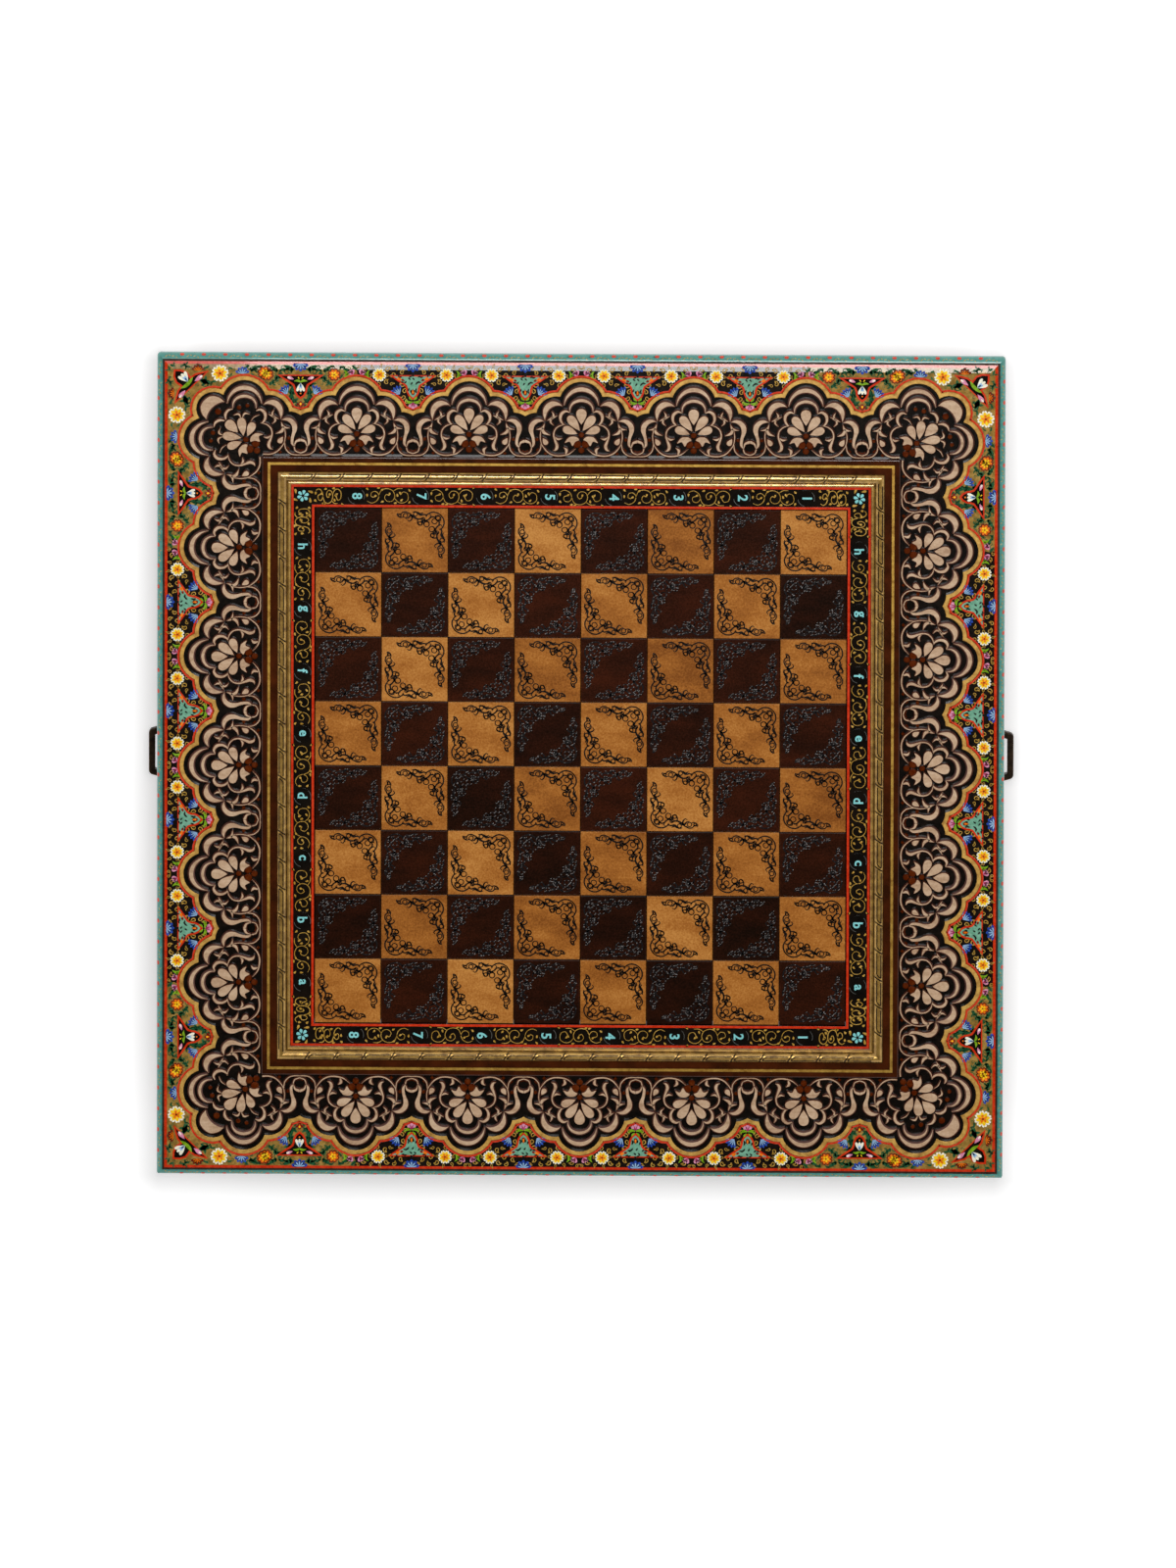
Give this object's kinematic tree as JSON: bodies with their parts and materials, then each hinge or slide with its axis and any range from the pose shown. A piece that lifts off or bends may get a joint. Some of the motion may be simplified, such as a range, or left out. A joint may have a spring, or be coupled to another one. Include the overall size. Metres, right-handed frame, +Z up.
{
  "type": "chess set box with board top",
  "caption": "Square carved and painted chess board on a low box, with drawers at both sides that hold the chessmen in felt-lined bays.",
  "frame": {"origin": "below the centre of the box, on the surface that the felt pads stand on", "axes": "+Z up, +X towards the right drawer, +Y away from the front edge of the board"},
  "size_m": [0.5108, 0.5, 0.0614],
  "materials": {
    "case_lacquer": "dark brown lacquer",
    "black_lacquer": "black lacquer with painted ornament",
    "brown_lacquer": "satin brown lacquer",
    "green_paint": "glossy sea green paint",
    "gilt": "gilded",
    "light_veneer": "satin tan wood",
    "dark_veneer": "glossy dark red-brown wood",
    "plain_wood": "oiled",
    "light_men": "polished",
    "dark_men": "polished",
    "bronze": "dark patina",
    "screw_steel": "plain",
    "felt": "green felt"
  },
  "bodies": {
    "case": {"back_wall": "case_lacquer", "bottom_panel": "case_lacquer", "bottom_screws": "screw_steel", "carved_border": "black_lacquer", "center_divider": "case_lacquer", "corner_blocks": "plain_wood", "dark_squares": "dark_veneer", "drawer_guides": "plain_wood", "edge_moulding_back": "green_paint", "edge_moulding_front": "green_paint", "edge_moulding_left": "green_paint", "edge_moulding_right": "green_paint", "foot_pads": "felt", "frame_strip_back": "brown_lacquer", "frame_strip_front": "brown_lacquer", "frame_strip_left": "brown_lacquer", "frame_strip_right": "brown_lacquer", "front_wall": "case_lacquer", "left_wall": "case_lacquer", "lettered_strip_back": "black_lacquer", "lettered_strip_front": "black_lacquer", "lettered_strip_left": "black_lacquer", "lettered_strip_right": "black_lacquer", "light_squares": "light_veneer", "ribbon_moulding_back": "gilt", "ribbon_moulding_front": "gilt", "ribbon_moulding_left": "gilt", "ribbon_moulding_right": "gilt", "right_wall": "case_lacquer", "top_panel": "case_lacquer"},
    "left_drawer": {"dark_bishops": "dark_men", "dark_king": "dark_men", "dark_knights": "dark_men", "dark_pawns": "dark_men", "dark_queen": "dark_men", "dark_rooks": "dark_men", "left_drawer_bottom": "plain_wood", "left_drawer_felt": "felt", "left_drawer_front": "case_lacquer", "left_drawer_grid": "plain_wood", "left_drawer_rear": "plain_wood", "left_drawer_side_back": "plain_wood", "left_drawer_side_front": "plain_wood", "left_pull": "bronze", "left_pull_screws": "screw_steel"},
    "right_drawer": {"light_bishops": "light_men", "light_king": "light_men", "light_knights": "light_men", "light_pawns": "light_men", "light_queen": "light_men", "light_rooks": "light_men", "right_drawer_bottom": "plain_wood", "right_drawer_felt": "felt", "right_drawer_front": "case_lacquer", "right_drawer_grid": "plain_wood", "right_drawer_rear": "plain_wood", "right_drawer_side_back": "plain_wood", "right_drawer_side_front": "plain_wood", "right_pull": "bronze", "right_pull_screws": "screw_steel"}
  },
  "joints": [
    {"name": "left_drawer_slide", "type": "slide", "parent": "case", "child": "left_drawer", "axis": [-1, 0, 0], "range_m": [0, 0.15]},
    {"name": "right_drawer_slide", "type": "slide", "parent": "case", "child": "right_drawer", "axis": [1, 0, 0], "range_m": [0, 0.15]}
  ]
}
